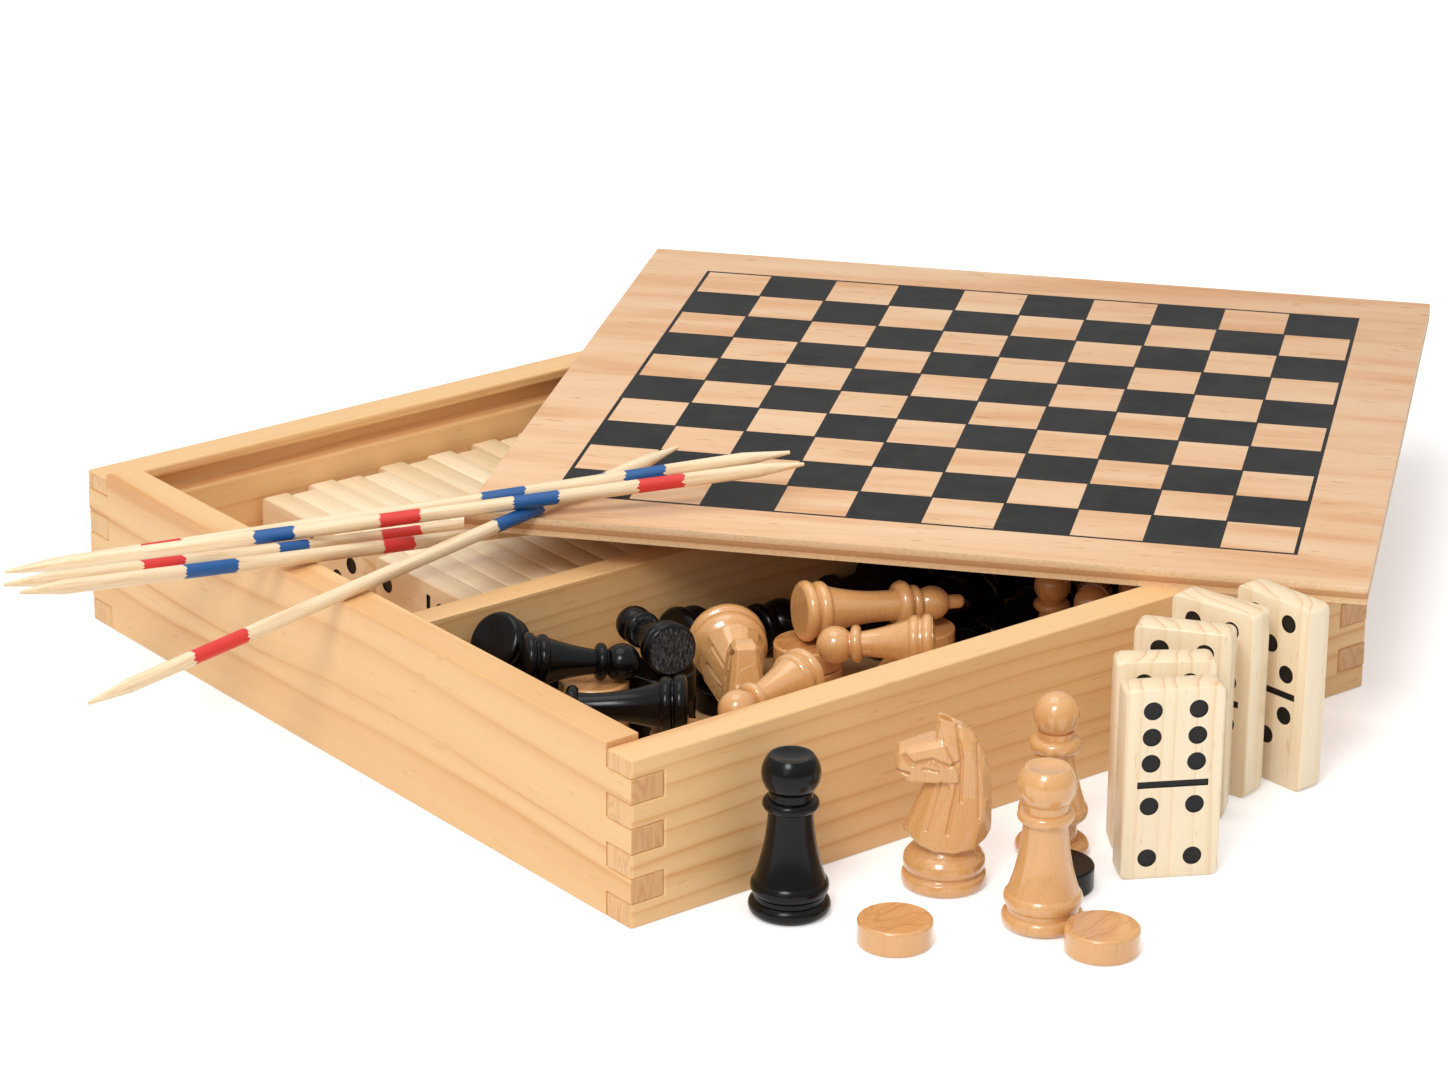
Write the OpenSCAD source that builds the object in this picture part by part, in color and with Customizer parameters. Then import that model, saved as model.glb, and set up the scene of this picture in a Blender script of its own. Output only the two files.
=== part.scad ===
// Games compendium box: a finger-jointed pine box with its playing-board lid
// laid on top, and the chess, draughts, domino and pick-up-stick pieces that it holds.
// Origin at the centre of the underside. +X runs along the front wall to the right,
// +Y runs from the front wall to the back wall, +Z is up. Millimetres.

/* [Box] */
// Outside length of each side of the box
box_s = 250; // [240:2:290]
// Height of the left wall
box_h = 46; // [44:1:56]
// Thickness of the walls
wall_t = 10; // [9:0.5:12]
// How much lower the front and back walls' tops are
long_drop = 1.5; // [0:0.5:3]
// Number of fingers in each corner joint
fingers = 7; // [5:2:9]
// Thickness of the base panel
base_t = 4; // [3:0.5:6]
// Depth of the base panel's rabbet in the walls
base_rabbet = 5; // [3:0.5:6]

/* [Lid] */
// Thickness of the board
lid_t = 5; // [4:0.5:6]
// Depth of the grooves that the board slides in
groove_d = 5; // [3:0.5:6]
// Clearance of the board in its grooves, at each face and edge
groove_gap = 0.4; // [0.2:0.1:0.8]
// Thickness of the lip above the grooves
lip_t = 4.6; // [4:0.2:6]
// How far the closed board stops short of the right face
lid_setback = 3; // [0:0.5:6]
// Corner radius of the board
lid_r = 1; // [0.5:0.5:6]
// Place of the board's centre along X
lid_x = 101; // [90:1:106]
// Place of the board's centre along Y
lid_y = 9; // [2:1:12]
// Turn of the board about the vertical
lid_yaw = -50; // [-54:1:-46]

/* [Divider] */
// Thickness of the divider
div_t = 8; // [6:0.5:9]
// Place of the divider's middle along Y
div_y = -1; // [-1:0.5:1]
// Depth of the divider's housings in the side walls
div_let = 3; // [1:0.5:4]

/* [Dominoes] */
// Length of a domino
dom_l = 51; // [46:0.5:52]
// Width of a domino
dom_w = 25; // [22:0.5:26]
// Thickness of a domino
dom_t = 8; // [7:0.1:8.2]
// Corner radius of a domino
dom_r = 2; // [1:0.25:3]
// Diameter of a pip
pip_d = 4.8; // [4:0.1:5.4]
// Depth of the pips and the bar
pip_deep = 0.3; // [0.2:0.05:0.5]
// Distance between neighbouring pips
pip_step = 7; // [6:0.25:7.5]
// Distance between the two rows of pips
pip_gap = 11.5; // [10:0.25:13]
// Length of the bar
bar_l = 18; // [16:0.5:20]
// Width of the bar
bar_w = 1.8; // [1.4:0.1:2.4]

/* [Draughts] */
// Diameter of a draughtsman
disc_d = 18.5; // [17:0.25:18.75]
// Thickness of a draughtsman
disc_t = 6.5; // [6:0.25:6.75]
// Rounding of its edge
disc_r = 0.8; // [0.4:0.1:1.2]

/* [Chessmen] */
// Height of a rook
rook_h = 41.5; // [39:0.5:41.5]
// Height of a pawn
pawn_h = 31; // [28:0.5:32]
// Height of a bishop
bishop_h = 43; // [42:0.5:48]
// Height of a king
king_h = 47; // [44:0.5:48]
// Height of a queen
queen_h = 44; // [42:0.5:45]
// Height of a knight
knight_h = 45; // [42:0.5:46]

/* [Sticks] */
// Length of a pick-up stick
stick_l = 212; // [195:1:216]
// Diameter of a pick-up stick
stick_d = 3.8; // [3:0.1:4]
// Length of its pointed ends
stick_tip = 13; // [8:0.5:18]
// Diameter of the blunted point
stick_point = 1; // [0.6:0.1:1.6]

/* [Fit] */
// Clearance of a round piece on what it rests on
touch = 0.2; // [0.1:0.05:0.3]
// Clearance between stacked or lined-up pieces
pile_gap = 0.1; // [0.05:0.05:0.3]

/* [Hidden] */
$fn = 64;

pine = [0.93, 0.77, 0.55];
ply = [0.89, 0.71, 0.51];
maple = [0.96, 0.86, 0.71];
natural = [0.88, 0.67, 0.42];
black = [0.13, 0.12, 0.12];

// Levels and faces of the box
half = box_s / 2;
inner = half - wall_t;
groove_h = lid_t + 2 * groove_gap;
groove_top = box_h - lip_t;
groove_floor = groove_top - groove_h;
long_h = box_h - long_drop;
finger_h = box_h / fingers;
floor_z = base_t;
div_top = groove_floor - groove_gap;
div_front = div_y - div_t / 2;
div_back = div_y + div_t / 2;

// Size of the board: it fills the grooves and stops short of the right face
lid_l = box_s - wall_t + groove_d - groove_gap - lid_setback;
lid_w = 2 * (inner + groove_d - groove_gap);
lid_top = long_h + lid_t;

// A rectangle with round corners, centred
module round_rect(l, w, r) {
    square([l - 2 * r, w], center = true);
    square([l, w - 2 * r], center = true);
    for (sx = [-1, 1], sy = [-1, 1])
        translate([sx * (l / 2 - r), sy * (w / 2 - r)]) circle(r);
}

// The space that the sliding board takes up in the box, open at the right face
module board_way() {
    reach = inner + groove_d;
    translate([-reach, -reach, groove_floor])
        cube([reach + half + 1, 2 * reach, groove_h]);
}

// The rabbet that holds the base panel
module base_way() {
    reach = inner + base_rabbet;
    translate([-reach, -reach, -1]) cube([2 * reach, 2 * reach, base_t + 1]);
}

// A wall along X at the front, with the fingers numbered even in its ends
module long_wall() {
    difference() {
        translate([-half, -half, 0]) cube([box_s, wall_t, long_h]);
        for (i = [1 : 2 : fingers - 1], s = [-1, 1])
            translate([s > 0 ? inner : -half - 1, -half - 1, i * finger_h])
                cube([wall_t + 1, wall_t + 2, finger_h]);
        board_way();
        base_way();
    }
}

// A wall along Y at the left, with the fingers numbered odd in its ends
module cross_wall() {
    difference() {
        translate([-half, -half, 0]) cube([wall_t, box_s, box_h]);
        for (i = [0 : 2 : fingers - 1], s = [-1, 1])
            translate([-half - 1, s > 0 ? inner : -half - 1, i * finger_h - (i == 0 ? 1 : 0)])
                cube([wall_t + 2, wall_t + 1, finger_h + (i == 0 || i == fingers - 1 ? 1 : 0)]);
        translate([-inner - div_let, div_front, floor_z])
            cube([div_let + 1, div_t, div_top - floor_z]);
        base_way();
    }
}

module wall_front() color(pine) long_wall();

module wall_back() color(pine) mirror([0, 1, 0]) long_wall();

module wall_left() color(pine) difference() {
    cross_wall();
    board_way();
}

// The right wall stops at the groove's floor, so that the board slides out over it
module wall_right() color(pine) difference() {
    mirror([1, 0, 0]) cross_wall();
    board_way();
    translate([inner - 1, -inner, groove_floor]) cube([wall_t + 2, 2 * inner, box_h]);
}

module base_panel() color(pine) {
    reach = inner + base_rabbet;
    translate([-reach, -reach, 0]) cube([2 * reach, 2 * reach, base_t]);
}

module divider() color(pine)
    translate([-inner - div_let, div_front, floor_z])
        cube([2 * (inner + div_let), div_t, div_top - floor_z]);

module lid_board() color(ply)
    translate([lid_x, lid_y, long_h]) rotate(lid_yaw)
        linear_extrude(lid_t) round_rect(lid_l, lid_w, lid_r);

// Where each stick crosses the left wall's outer face, its turn, and how far its
// left point lies beyond that face
stick_a = [-1.5, 9.5, 85];
stick_b = [38.5, -24.5, 63];
stick_c = [49, -26.5, 61];
stick_e = [24, 5.5, 85];
stick_f = [31.2, 6.1, 86];

stick_r = stick_d / 2;
rest_r = stick_r + touch / 2;
cross_z = stick_d + touch;

// Run along a stick, in plan, from the left wall's outer face to the board's edge
function board_run(s, e) =
    let (away = [lid_x + half, lid_y - s[0]])
    (away * e - (abs(e[0] - cos(lid_yaw)) < 0.001 ? lid_l : lid_w) / 2)
    / ([cos(s[1]), sin(s[1])] * e);
function to_board(s) = max(board_run(s, [cos(lid_yaw), sin(lid_yaw)]),
                           board_run(s, [-sin(lid_yaw), cos(lid_yaw)]));

// Run along stick s, in plan, to where it crosses stick o
function crossing(s, o) =
    (o[0] - s[0]) * cos(o[1]) / sin(s[1] - o[1]);

// Each stick's rise for each millimetre in plan, and its height at the outer face
rise_a = (lid_top - box_h) / to_board(stick_a);
z_a = box_h + rest_r;

// The two sticks under the board lie on the left wall's inner edge and on the dominoes
dom_top = floor_z + dom_w;
function under_run(s) = (stick_l - s[2]) * 0.99 - wall_t / cos(s[1]);
function under_rise(s) = -(box_h + rest_r - dom_top - stick_point / 2 - touch) / under_run(s);
rise_e = under_rise(stick_e);
rise_f = under_rise(stick_f);
z_e = box_h + rest_r - rise_e * wall_t / cos(stick_e[1]);
z_f = box_h + rest_r - rise_f * wall_t / cos(stick_f[1]);

// The two upper sticks lie over stick a, and on the wall or on the sticks under the board
function height_on(z, rise, s, o) = z + rise * crossing(o, s);
z_c = box_h + rest_r;
run_c = crossing(stick_c, stick_a);
rise_c = (height_on(z_a, rise_a, stick_c, stick_a) + cross_z - z_c) / run_c;
low_b = crossing(stick_b, stick_f);
run_b = crossing(stick_b, stick_a);
z_low_b = height_on(z_f, rise_f, stick_b, stick_f) + cross_z + 2 * touch;
z_high_b = height_on(z_a, rise_a, stick_b, stick_a) + cross_z;
rise_b = (z_high_b - z_low_b) / (run_b - low_b);
z_b = z_low_b - rise_b * low_b;

// A pick-up stick along +X, with its left point at x = 0
module stick_blank() rotate([0, 90, 0]) rotate_extrude() polygon([
    [0, 0], [stick_point / 2, 0], [stick_r, stick_tip],
    [stick_r, stick_l - stick_tip], [stick_point / 2, stick_l], [0, stick_l]
]);

module stick(s, z, rise) color(maple)
    translate([-half, s[0], z]) rotate([0, -atan(rise), s[1]])
        translate([-s[2], 0, 0]) stick_blank();

module stick_lid() stick(stick_a, z_a, rise_a);
module stick_upper_front() stick(stick_b, z_b, rise_b);
module stick_upper_back() stick(stick_c, z_c, rise_c);
module stick_under_front() stick(stick_e, z_e, rise_e);
module stick_under_back() stick(stick_f, z_f, rise_f);

// Places of a number's pips in its half, in steps along and across the tile
function pips(n) = [
    for (i = [-1, 0, 1], j = [-1, 0, 1])
        if ((i == 0 && j == 0 && n % 2 == 1)
            || (i * j == 1 && n > 1)
            || (i * j == -1 && n > 3)
            || (i == 0 && j != 0 && n == 6))
            [i, j]
];

// A tile standing on its short end, its face at y = 0 towards -Y
module domino(top, bottom) color(maple) difference() {
    translate([0, dom_t, dom_l / 2]) rotate([90, 0, 0])
        linear_extrude(dom_t) round_rect(dom_w, dom_l, dom_r);
    for (half_no = [1, -1])
        for (p = pips(half_no > 0 ? top : bottom))
            translate([p[1] * pip_gap / 2, pip_deep,
                       dom_l / 2 + half_no * dom_l / 4 + p[0] * pip_step])
                rotate([90, 0, 0]) cylinder(d = pip_d, h = pip_deep + 1);
    translate([-bar_l / 2, -1, (dom_l - bar_w) / 2]) cube([bar_l, pip_deep + 1, bar_w]);
}

// The five tiles that stand in front: middle of the face's foot, turn, and numbers
standing = [
    [-1, -182, -29, 6, 4],
    [9, -168, -34, 4, 2],
    [26, -155.5, -54, 4, 1],
    [44, -147.5, -77, 4, 3],
    [60, -153, -87, 5, 3]
];

module standing_domino(i) {
    s = standing[i];
    translate([s[0], s[1], 0]) rotate(s[2]) domino(s[3], s[4]);
}
module domino_standing_1() standing_domino(0);
module domino_standing_2() standing_domino(1);
module domino_standing_3() standing_domino(2);
module domino_standing_4() standing_domino(3);
module domino_standing_5() standing_domino(4);

// The other 23 tiles stand on their long edges in two rows, faces to the left
row_x = -inner + 39;
back_row = [[5, 1], [6, 6], [0, 4], [2, 2], [6, 1], [3, 3], [5, 0], [6, 2], [1, 1], [5, 4], [3, 0], [6, 5]];
front_row = [[5, 2], [0, 0], [6, 3], [2, 1], [5, 5], [4, 4], [3, 1], [6, 0], [2, 0], [3, 2], [1, 0]];

// How far each tile stands out of its row, towards the wall behind it
row_steps = [0, -2.4, 1.2, -0.8, -2.6, 1.4, -1.6, 0.6, -2.8, 1, -1.2, 0.4];

module domino_row(tiles, mid_y, way) {
    for (i = [0 : len(tiles) - 1])
        translate([row_x + i * (dom_t + pile_gap), mid_y + way * row_steps[i], floor_z])
            rotate([0, 0, -90]) rotate([0, 90, 0]) translate([-dom_w / 2, 0, -dom_l / 2])
                domino(tiles[i][0], tiles[i][1]);
}
module dominoes_back_row() domino_row(back_row, inner - dom_l / 2 - 2, 1);
module dominoes_front_row() domino_row(front_row, div_back + dom_l / 2 + 2, -1);

// A draughtsman with eased edges, its underside at z = 0
module draught() rotate_extrude() {
    square([disc_d / 2 - disc_r, disc_t]);
    translate([0, disc_r]) square([disc_d / 2, disc_t - 2 * disc_r]);
    for (z = [disc_r, disc_t - disc_r]) translate([disc_d / 2 - disc_r, z]) circle(disc_r);
}

module draught_natural_1() color(natural) translate([-78.4, -168.6, 0]) draught();
module draught_natural_2() color(natural) translate([-41.6, -202, 0]) draught();
module draught_black_1() color(black) translate([-26.4, -168.8, 0]) draught();

// A turned piece's rounded ring: outer radius, height of its middle, and thickness
module ring(r, z, t) {
    translate([0, z - t / 2]) square([r - t / 2, t]);
    translate([r - t / 2, z]) circle(t / 2);
}

// A turned piece's waist: it narrows from r0 at z0 to r1 at z1 on a hollow curve of radius bow
module waist(r0, z0, r1, z1, bow) {
    dx = r1 - r0;
    dz = z1 - z0;
    span = norm([dx, dz]);
    out = sqrt(bow * bow - span * span / 4);
    difference() {
        polygon([[0, z0], [r0, z0], [r1, z1], [0, z1]]);
        translate([(r0 + r1) / 2 + out * dz / span, (z0 + z1) / 2 - out * dx / span])
            circle(bow, $fn = 180);
    }
}

// Keeps a profile on the right of the axis and above the foot
module turned(h) rotate_extrude() intersection() {
    union() children();
    square([30, h]);
}

rook_base = 10.2;
rook_head = 7.3;
pawn_base = 7.2;
pawn_head = 5;
bishop_base = 9.4;
bishop_ring = 8.8;
bishop_head = 5.8;
king_base = 8.2;
king_head = 6.6;
queen_base = 8;
queen_head = 6.5;
knight_base = 10.8;

module rook() turned(rook_h) {
    square([rook_base - 1.4, 9]);
    ring(rook_base, 2.1, 4.2);
    ring(9.7, 7.2, 5.4);
    waist(8.9, 9, 5.5, rook_h - 14, 60);
    translate([0, rook_h - 15]) square([5.5, 6]);
    ring(rook_head - 0.3, rook_h - 12.6, 3);
    difference() {
        ring(rook_head, rook_h - 4.6, 13.2);
        translate([0, rook_h + 13.2]) circle(14);
    }
}

module pawn() turned(pawn_h) {
    square([pawn_base - 1, 6]);
    ring(pawn_base, 1.6, 3.2);
    ring(pawn_base - 0.3, 5, 3.4);
    waist(6.2, 6, 3.2, pawn_h - 11.5, 60);
    translate([0, pawn_h - 12]) square([3.2, 4]);
    ring(5, pawn_h - 10.6, 2.8);
    translate([0, pawn_h - pawn_head]) circle(pawn_head);
}

module bishop() turned(bishop_h) {
    square([6.2, 10]);
    ring(bishop_base, 1.8, 3.6);
    ring(bishop_ring, 11.4, 5.2);
    waist(8, 13.4, 4.6, bishop_h - 15.4, 90);
    translate([0, bishop_h - 16]) square([4.6, 6]);
    ring(6.5, bishop_h - 13.6, 3.8);
    translate([0, bishop_h - bishop_head]) circle(bishop_head);
}

module king() turned(king_h) {
    square([king_base - 1.4, 7]);
    ring(king_base, 1.8, 3.6);
    ring(king_base - 0.4, 5.6, 4);
    waist(6.6, 7, 4.2, king_h - 20, 60);
    ring(king_head, king_h - 18.2, 4.2);
    ring(5.2, king_h - 14.6, 3);
    translate([0, king_h - 9.6]) scale([1, 1.15]) circle(4.6);
    translate([0, king_h - 6]) square([1.9, 4]);
    translate([0, king_h - 1.9]) circle(1.9);
}

module queen() turned(queen_h) {
    square([queen_base - 1.4, 7]);
    ring(queen_base, 1.8, 3.6);
    ring(queen_base - 0.5, 5.4, 3.6);
    waist(6.4, 7, 3.8, queen_h - 16, 50);
    ring(5.8, queen_h - 14.6, 3.2);
    translate([0, queen_h - 13]) square([3.8, 5]);
    ring(queen_head, queen_h - 6, 6.6);
    translate([0, queen_h - 2.6]) circle(2.6);
}

// The horse's side view, facing -X, from the collar up
module horse_side() polygon([
    [-7.6, 11], [-9.6, 14], [-9.4, 18], [-5.6, 23], [-6.2, 27.6], [-10.4, 27.2],
    [-12, 29.4], [-11.6, 32.4], [-7.2, 35.4], [-5, 38.8], [-1.6, knight_h - 3.2],
    [-0.6, knight_h], [2.2, knight_h - 4.4], [6, knight_h - 6], [9.4, 34],
    [11, 27], [10.6, 20], [8.6, 15.4], [8.4, 11]
]);

// The horse's front view
module horse_front() polygon([
    [-7.6, 11], [-8.8, 15], [-6.2, 24], [-5.6, 31], [-4.4, 37], [-3, knight_h],
    [3, knight_h], [4.4, 37], [5.6, 31], [6.2, 24], [8.8, 15], [7.6, 11]
]);

module knight() {
    turned(12) {
        ring(knight_base, 2, 4);
        ring(knight_base - 1, 6.6, 3.6);
        square([8.2, 12]);
    }
    intersection() {
        rotate([90, 0, 0]) linear_extrude(24, center = true) horse_side();
        rotate([90, 0, 90]) linear_extrude(30, center = true) horse_front();
    }
}

// The two rings or balls that each piece lies on: radius and height along the piece
rook_rests = [[rook_base, 2.1], [rook_head, rook_h - 4.6]];
pawn_rests = [[pawn_base, 1.6], [pawn_head, pawn_h - pawn_head]];
bishop_rests = [[bishop_ring, 11.4], [bishop_head, bishop_h - bishop_head]];
king_rests = [[king_base, 1.8], [king_head, king_h - 18.2]];
queen_rests = [[queen_base, 1.8], [queen_head, queen_h - 6]];
knight_rests = [[knight_base, 2], [11, 27]];
knight_side_rests = [[knight_base, 2], [8.8, 15]];

// Lays a piece on its two rests at height z, its foot at x and y, and its head along yaw
module laid(x, y, z, yaw, rests, roll = 0) {
    foot = rests[0];
    head = rests[1];
    tip = asin((foot[0] - head[0]) / (head[1] - foot[1]));
    translate([x, y, z + touch + foot[0] * cos(tip) + foot[1] * sin(tip)])
        rotate([0, 90 + tip, yaw]) rotate(roll) children();
}

// The pieces that stand outside, on the surface
module rook_black_outside() color(black) translate([-87.6, -139.6, 0]) rook();
module knight_natural_outside() color(natural)
    translate([-47, -150, 0]) rotate(-38) knight();
module rook_natural_outside() color(natural) translate([-43.1, -182.2, 0]) rook();
module bishop_natural_outside() color(natural) translate([-13.3, -152.4, 0]) bishop();

// Stacks of draughtsmen in the tray: place and how many
one_high = floor_z + disc_t + pile_gap;
two_high = floor_z + 2 * (disc_t + pile_gap);
three_high = floor_z + 3 * (disc_t + pile_gap);
natural_stacks = [[-72, -39, 3], [-65, -69, 2], [-94.5, -51.5, 2], [-12, -53.3, 3], [19, -63, 3],
                  [-1, -83, 3], [-20, -74, 2]];
black_stacks = [[-101, -14.7, 3], [-92, -32, 3], [-54, -44, 3], [-43, -85, 3], [-27, -38, 1],
                [-46, -66, 1], [97, -57, 5]];

module stacks(list) {
    for (s = list, i = [0 : s[2] - 1]) translate([s[0], s[1], floor_z + i * (disc_t + pile_gap)])
        draught();
}
module draughts_natural() color(natural) stacks(natural_stacks);
module draughts_black() color(black) stacks(black_stacks);

// The chessmen that lie on the stacks
module king_natural() color(natural)
    laid(-14, -52, three_high, -19, king_rests) king();
module knight_natural() color(natural)
    laid(-25.2, -35, one_high, 240, knight_rests) knight();
module pawn_natural_1() color(natural)
    laid(-37, -83.5, three_high, 188, pawn_rests) pawn();
module pawn_natural_2() color(natural)
    laid(3, -87, three_high, 137, pawn_rests) pawn();
module pawn_black_1() color(black)
    laid(-90.5, -33, three_high, -28, pawn_rests) pawn();
module pawn_black_2() color(black)
    laid(-56, -51.5, three_high, 75, pawn_rests) pawn();
module queen_black() color(black)
    laid(-66, -71, two_high, 141, queen_rests) queen();
module rook_black() color(black)
    laid(-28, -16.5, floor_z, 0, rook_rests) rook();

// This king leans: its foot's rim is on a stack and its top is near the floor
lean = 33;
lean_z = three_high + 2 * touch + king_base * cos(lean);
module king_black() color(black)
    translate([-88.5, -17, lean_z]) rotate([0, 90 + lean, 10]) king();

// The chessmen on the tray's floor
module queen_natural() color(natural)
    laid(38, -111, floor_z, 90, queen_rests) queen();
module bishop_natural() color(natural)
    laid(-104.5, -112, floor_z, 90, bishop_rests) bishop();
module rook_natural() color(natural)
    laid(-30, -104, floor_z, 0, rook_rests) rook();
module bishops_black() color(black) {
    laid(77, -57, floor_z, 180, bishop_rests) bishop();
    laid(64, -38, floor_z, 180, bishop_rests) bishop();
}
module knights_black() color(black) {
    for (x = [112, 63]) laid(x, -17, floor_z, 180, knight_side_rests, 90) knight();
}

// Pawns that stand at the right end: three rows, natural in the left two columns
module pawn_block(columns) {
    for (i = columns, j = [0 : 2]) translate([56 + i * 16, -106 + j * 16, floor_z]) pawn();
}
module pawns_natural() color(natural) pawn_block([0, 1]);
module pawns_black() color(black) pawn_block([2, 3]);

base_panel();
wall_front();
wall_back();
wall_left();
wall_right();
divider();
lid_board();
stick_lid();
stick_upper_front();
stick_upper_back();
stick_under_front();
stick_under_back();
domino_standing_1();
domino_standing_2();
domino_standing_3();
domino_standing_4();
domino_standing_5();
dominoes_back_row();
dominoes_front_row();
rook_black_outside();
knight_natural_outside();
rook_natural_outside();
bishop_natural_outside();
draught_natural_1();
draught_natural_2();
draught_black_1();
king_natural();
knight_natural();
pawn_natural_1();
pawn_natural_2();
pawn_black_1();
pawn_black_2();
king_black();
queen_black();
rook_black();
queen_natural();
bishop_natural();
rook_natural();
bishops_black();
knights_black();
pawns_black();
pawns_natural();
draughts_natural();
draughts_black();
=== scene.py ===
import math

import bmesh
import bpy
import numpy as np
from mathutils import Matrix, Vector


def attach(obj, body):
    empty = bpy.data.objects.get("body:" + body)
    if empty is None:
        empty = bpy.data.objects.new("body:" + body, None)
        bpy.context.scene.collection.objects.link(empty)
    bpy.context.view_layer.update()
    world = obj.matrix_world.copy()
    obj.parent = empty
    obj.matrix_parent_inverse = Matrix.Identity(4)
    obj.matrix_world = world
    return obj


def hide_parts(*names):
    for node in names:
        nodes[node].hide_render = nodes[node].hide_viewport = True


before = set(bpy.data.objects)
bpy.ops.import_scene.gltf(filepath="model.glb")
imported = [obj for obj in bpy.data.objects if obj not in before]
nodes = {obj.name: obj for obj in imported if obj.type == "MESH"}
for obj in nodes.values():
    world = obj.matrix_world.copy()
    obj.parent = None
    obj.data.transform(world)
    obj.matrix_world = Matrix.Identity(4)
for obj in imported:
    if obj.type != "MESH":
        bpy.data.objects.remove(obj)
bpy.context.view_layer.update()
MM = 0.001

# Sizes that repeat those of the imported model, in millimetres and degrees

# The top of the base panel, and the bottom of a man that lies on one draughtsman
FLOOR_Z = 4.0
ONE_HIGH = FLOOR_Z + 6.6

# The lid's place, turn, lowest point and thickness, and the squares printed on it
LID_X, LID_Y, LID_YAW = 101.0, 9.0, -50.0
LID_Z, LID_T = 44.5, 5.0
SQUARE, SQUARES = 20.0, 10

# A domino's length, width, thickness and corner radius
DOM_L, DOM_W, DOM_T, DOM_R = 51.0, 25.0, 8.0, 2.0
# A pip's diameter and depth, the step between pips along the tile and the gap across it
PIP_D, PIP_DEEP, PIP_STEP, PIP_GAP = 4.8, 0.3, 7.0, 11.5
# The bar between a tile's halves
BAR_L, BAR_W = 18.0, 1.8
# The standing tiles: x, y, turn, and the numbers in the top and bottom half
STANDING = ((-1, -182, -29, 6, 4), (9, -168, -34, 4, 2), (26, -155.5, -54, 4, 1),
            (44, -147.5, -77, 4, 3), (60, -153, -87, 5, 3))
# The numbers of the tiles in the two rows, from the left
BACK_ROW = ((5, 1), (6, 6), (0, 4), (2, 2), (6, 1), (3, 3), (5, 0), (6, 2), (1, 1), (5, 4), (3, 0), (6, 5))
FRONT_ROW = ((5, 2), (0, 0), (6, 3), (2, 1), (5, 5), (4, 4), (3, 1), (6, 0), (2, 0), (3, 2), (1, 0))
# How far each tile of a row is pushed out of line, the first tile's x, and the step to the next
ROW_STEPS = (0, -2.4, 1.2, -0.8, -2.6, 1.4, -1.6, 0.6, -2.8, 1, -1.2, 0.4)
ROW_X, ROW_PITCH = -76, DOM_T + 0.1
# The middle line of each row, 2 mm off the compartment's back and front
BACK_ROW_Y = 115 - DOM_L / 2 - 2
FRONT_ROW_Y = 3 + DOM_L / 2 + 2

# The knight in front of the box, and the one that lies in the tray
KNIGHT_X, KNIGHT_Y, KNIGHT_YAW = -47, -150, -38
LYING_KNIGHT_X, LYING_KNIGHT_Y, LYING_KNIGHT_YAW = -25.2, -35, 240
# The two radii that a lying man rests on, with their heights along it, and its gap to what is below
KNIGHT_RESTS = ((10.8, 2.0), (11.0, 27.0))
PAWN_RESTS = ((7.2, 1.6), (5.0, 26.0))
REST_GAP = 0.2
# The turn of the pawn whose worn foot faces the viewer
WORN_PAWN_YAW = 75

scene = bpy.context.scene
scene.view_settings.view_transform = "Standard"


def add_object(name, data):
    obj = bpy.data.objects.new(name, data)
    scene.collection.objects.link(obj)
    return obj


# Camera

CAMERA_PLACE = (-0.7398, -0.9373, 0.4964)
AZIMUTH, ELEVATION, ROLL = (math.radians(a) for a in (38.34, 21.24, 0.51))
LENS, SENSOR = 116.2, 36.0
CLIP_NEAR, CLIP_FAR = 0.05, 20.0


def add_camera():
    forward = Vector((math.sin(AZIMUTH) * math.cos(ELEVATION),
                      math.cos(AZIMUTH) * math.cos(ELEVATION), -math.sin(ELEVATION)))
    data = bpy.data.cameras.new("camera")
    data.lens, data.sensor_width = LENS, SENSOR
    data.clip_start, data.clip_end = CLIP_NEAR, CLIP_FAR
    camera = add_object("camera", data)
    camera.matrix_world = (Matrix.Translation(CAMERA_PLACE)
                           @ forward.to_track_quat("-Z", "Y").to_matrix().to_4x4()
                           @ Matrix.Rotation(ROLL, 4, "Z"))
    scene.camera = camera


add_camera()


# Short ways of building shader nodes

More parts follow.
